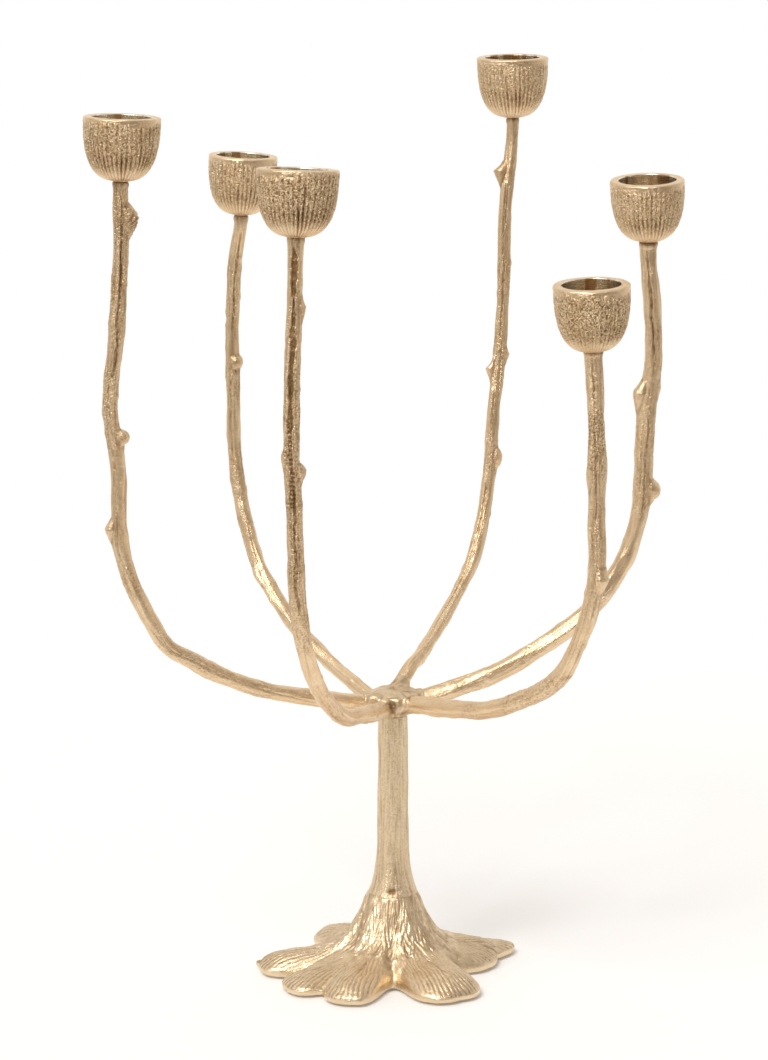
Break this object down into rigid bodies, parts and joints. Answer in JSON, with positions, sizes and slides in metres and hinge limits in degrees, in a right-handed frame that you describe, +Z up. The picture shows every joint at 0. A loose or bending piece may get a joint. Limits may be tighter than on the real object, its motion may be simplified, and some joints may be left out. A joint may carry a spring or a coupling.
{
  "type": "tabletop candelabra",
  "caption": "Tree-shaped tabletop candelabra in satin brass: a root-shaped foot, a short trunk and upcurved twig arms, each ending in a tulip-shaped candle cup.",
  "frame": {"origin": "centre of the overall bounding box at the level of the surface it stands on", "axes": "+Z up along the trunk, -Y towards the viewer of the front, +X to that viewer's right"},
  "size_m": [0.2478, 0.2314, 0.3836],
  "materials": {
    "cast_brass": "satin champagne-gold cast metal, sand-textured, with bright rubbed edges",
    "steel": "plain zinc-plated steel",
    "felt": "dark pressed felt"
  },
  "bodies": {
    "root": {"foot": "cast_brass", "trunk": "cast_brass", "hub": "cast_brass", "arm_left": "cast_brass", "arm_back_left": "cast_brass", "arm_front_left": "cast_brass", "arm_back_right": "cast_brass", "arm_right": "cast_brass", "arm_front_right": "cast_brass", "cup_left": "cast_brass", "cup_back_left": "cast_brass", "cup_front_left": "cast_brass", "cup_back_right": "cast_brass", "cup_right": "cast_brass", "cup_front_right": "cast_brass", "screw_left": "steel", "screw_back_left": "steel", "screw_front_left": "steel", "screw_back_right": "steel", "screw_right": "steel", "screw_front_right": "steel", "tie_rod": "steel", "tie_washer": "steel", "spring_washer": "steel", "tie_nut": "steel", "pad_left": "felt", "pad_front_left": "felt", "pad_front_right": "felt", "pad_right": "felt", "pad_back_right": "felt", "pad_back_left": "felt"}
  },
  "joints": []
}
